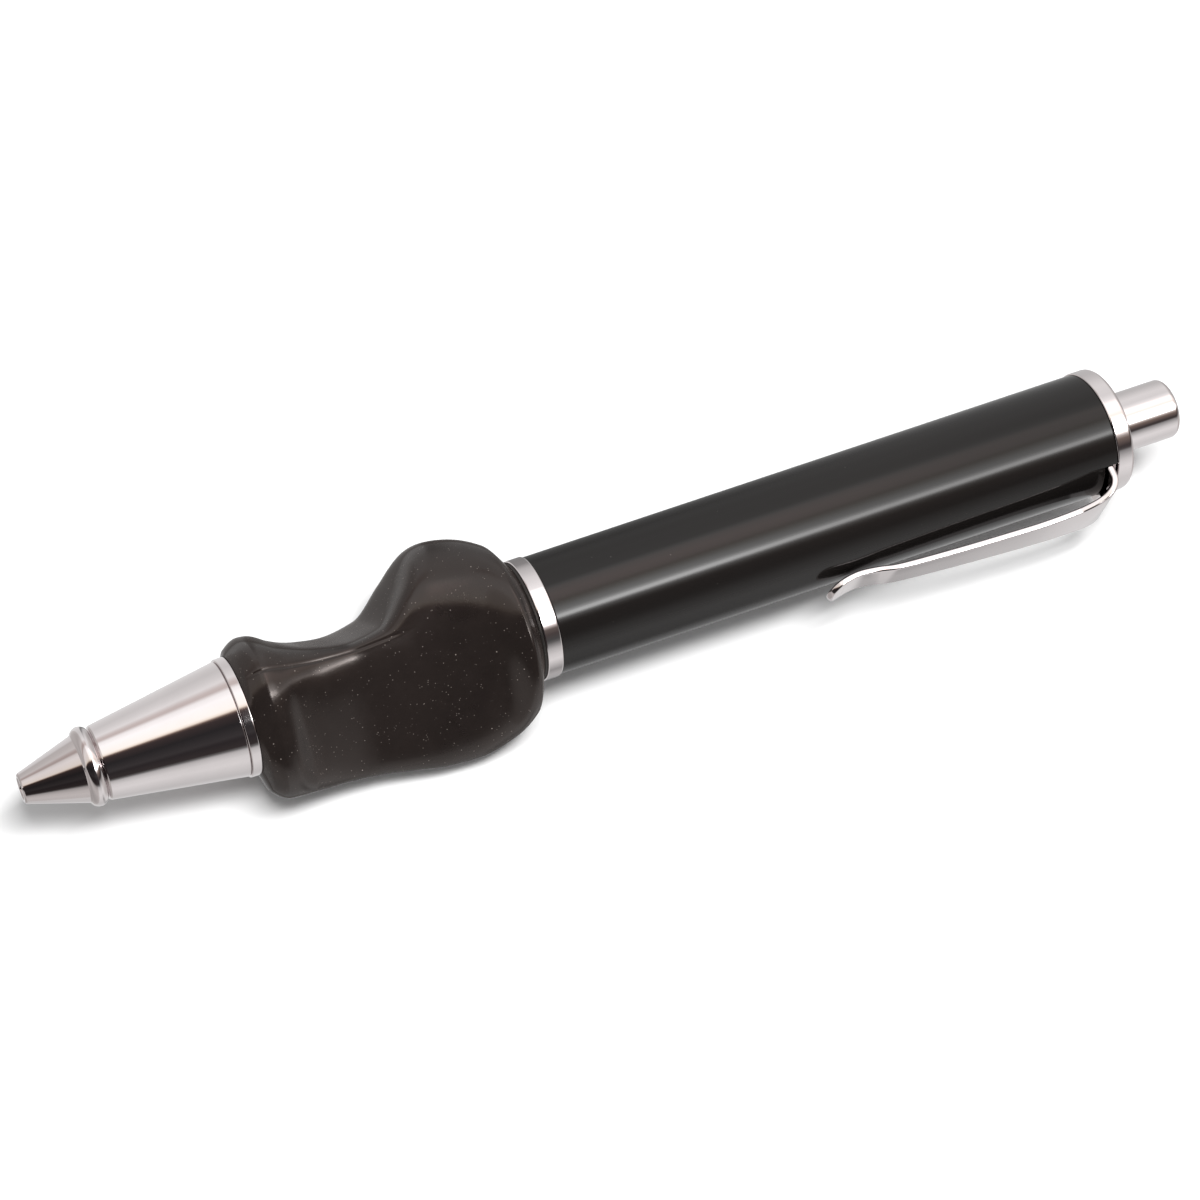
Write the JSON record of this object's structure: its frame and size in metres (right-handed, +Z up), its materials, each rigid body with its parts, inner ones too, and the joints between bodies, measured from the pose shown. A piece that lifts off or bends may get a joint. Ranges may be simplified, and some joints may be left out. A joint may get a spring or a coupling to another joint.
{
  "type": "retractable ballpoint pen",
  "caption": "Retractable ballpoint pen with chrome nose cone, moulded three-finger rubber grip, glossy black barrel, spring clip and push button.",
  "frame": {"origin": "centre of the nose cone's front face, on the pen axis", "axes": "+X along the pen axis from the writing end to the push button, +Z up through the ridge of the grip"},
  "size_m": [0.1449, 0.0256, 0.0198],
  "materials": {
    "nose_cone": "polished chrome plate, fine hairline scratches",
    "front_ring": "polished chrome plate",
    "lower_barrel": "turned brass, satin",
    "grip": "warm black moulded rubber, satin sheen with dust specks",
    "joint_washer": "matt black",
    "mid_ring": "polished chrome plate",
    "upper_barrel": "glossy black lacquer",
    "barrel_insert": "turned brass",
    "end_ring": "polished chrome plate",
    "clip": "polished chrome plate over spring steel",
    "mechanism_housing": "moulded white plastic",
    "push_button": "polished chrome plate",
    "thrust_plunger": "moulded grey-blue plastic",
    "rotor_cam": "moulded natural acetal",
    "refill_tube": "drawn steel tube",
    "refill_plug": "moulded blue plastic",
    "refill_tip": "turned brass",
    "ink_column": "dark blue ink paste",
    "writing_ball": "tungsten carbide",
    "return_spring": "drawn spring wire"
  },
  "bodies": {
    "barrel": {"upper_barrel": "upper_barrel", "barrel_insert": "barrel_insert", "end_ring": "end_ring", "mechanism_housing": "mechanism_housing"},
    "clip": {"clip": "clip"},
    "button": {"push_button": "push_button", "thrust_plunger": "thrust_plunger"},
    "rotor": {"rotor_cam": "rotor_cam"},
    "joint_rings": {"mid_ring": "mid_ring", "joint_washer": "joint_washer"},
    "front": {"nose_cone": "nose_cone", "front_ring": "front_ring", "lower_barrel": "lower_barrel", "grip": "grip"},
    "refill": {"refill_tube": "refill_tube", "refill_plug": "refill_plug", "refill_tip": "refill_tip", "ink_column": "ink_column", "return_spring": "return_spring"},
    "ball": {"writing_ball": "writing_ball"}
  },
  "joints": [
    {"name": "clip_flex", "type": "hinge", "parent": "barrel", "child": "clip", "pos_m": [0.1339, -0.00678, -0.00095], "axis": [0, -0.1392, 0.9903], "range_deg": [0, 5], "stiffness_Nm_per_rad": 0.35},
    {"name": "button_press", "type": "slide", "parent": "barrel", "child": "button", "axis": [-1, 0, 0], "range_m": [0, 0.006], "stiffness_N_per_m": 150},
    {"name": "rotor_turn", "type": "hinge", "parent": "button", "child": "rotor", "pos_m": [0.107, 0, 0], "axis": [1, 0, 0], "range_deg": [0, 45]},
    {"name": "front_travel", "type": "slide", "parent": "barrel", "child": "joint_rings", "axis": [-1, 0, 0], "range_m": [0, 0.0045]},
    {"name": "front_turn", "type": "hinge", "parent": "joint_rings", "child": "front", "pos_m": [0.0646, 0, 0], "axis": [1, 0, 0], "range_deg": [0, 2160]},
    {"name": "refill_slide", "type": "slide", "parent": "front", "child": "refill", "axis": [-1, 0, 0], "range_m": [0, 0.006], "deforming": ["return_spring"]},
    {"name": "ball_roll", "type": "hinge", "parent": "refill", "child": "ball", "pos_m": [0.0035, 0, 0], "axis": [0, 1, 0], "continuous": true}
  ],
  "couplings": [
    {"joint": "rotor_turn", "follows": "button_press", "rad_per_m": 130.9},
    {"joint": "refill_slide", "follows": "button_press", "ratio": 1},
    {"joint": "front_turn", "follows": "front_travel", "rad_per_m": 8377.6}
  ]
}
